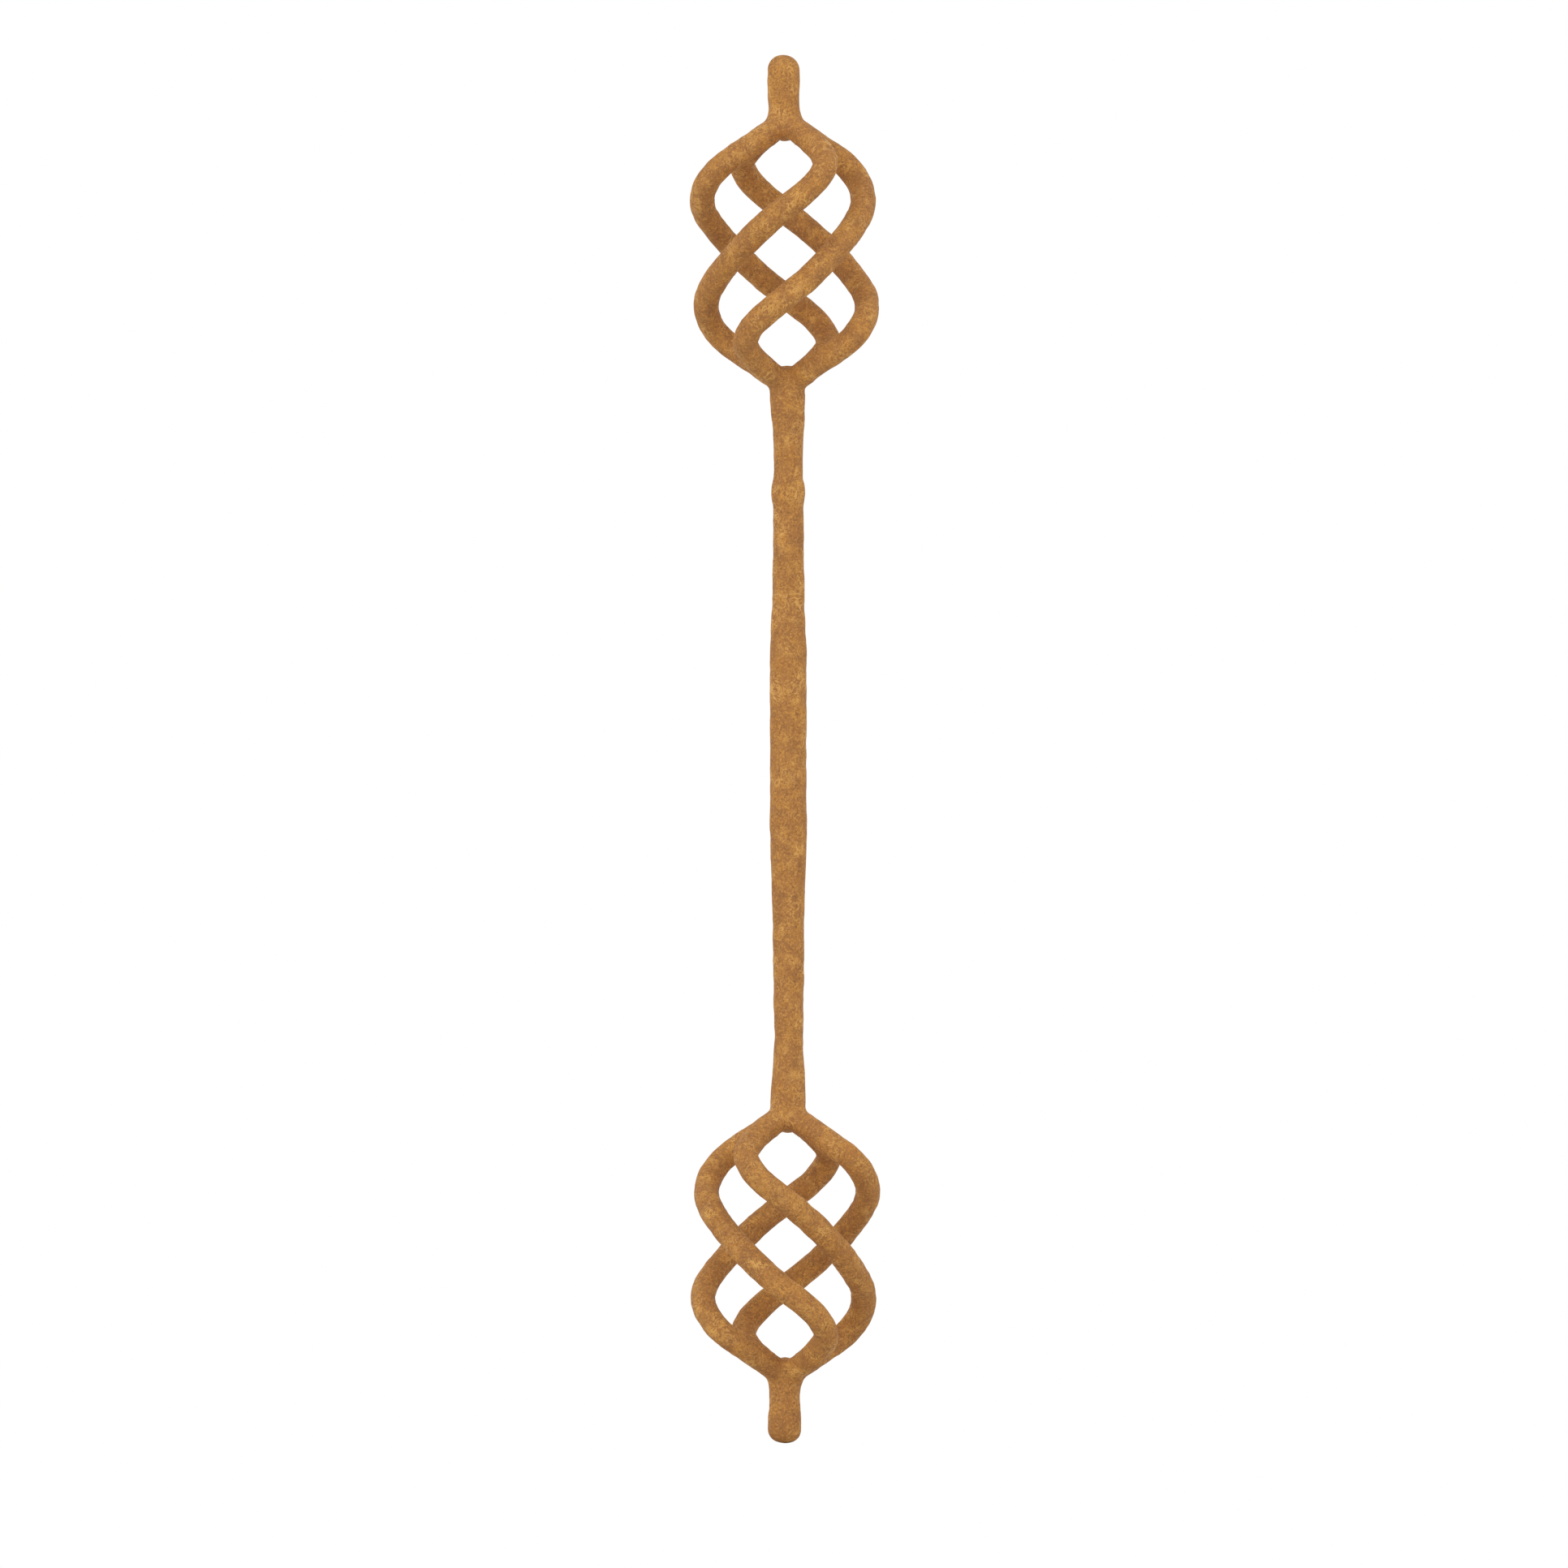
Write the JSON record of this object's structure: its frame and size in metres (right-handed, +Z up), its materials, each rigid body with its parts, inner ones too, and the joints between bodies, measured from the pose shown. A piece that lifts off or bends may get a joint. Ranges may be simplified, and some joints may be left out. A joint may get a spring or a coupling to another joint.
{
  "type": "iron stair baluster",
  "caption": "Upright wrought iron stair baluster: a swelled round shaft between two open twisted baskets, with a round pin at each end.",
  "frame": {"origin": "tip of the foot pin, on the baluster's axis", "axes": "+Z up the baluster's axis to the top pin; the view of the picture is along +Y, with +X to its right"},
  "size_m": [0.1144, 0.1144, 0.855],
  "materials": {
    "patina_iron": "hand-rubbed brown and ochre patina paint, matt, mottled with golden flecks"
  },
  "bodies": {
    "root": {"foot_pin": "patina_iron", "lower_basket_bar_1": "patina_iron", "lower_basket_bar_2": "patina_iron", "lower_basket_bar_3": "patina_iron", "lower_basket_bar_4": "patina_iron", "shaft": "patina_iron", "upper_basket_bar_1": "patina_iron", "upper_basket_bar_2": "patina_iron", "upper_basket_bar_3": "patina_iron", "upper_basket_bar_4": "patina_iron", "top_pin": "patina_iron"}
  },
  "joints": []
}
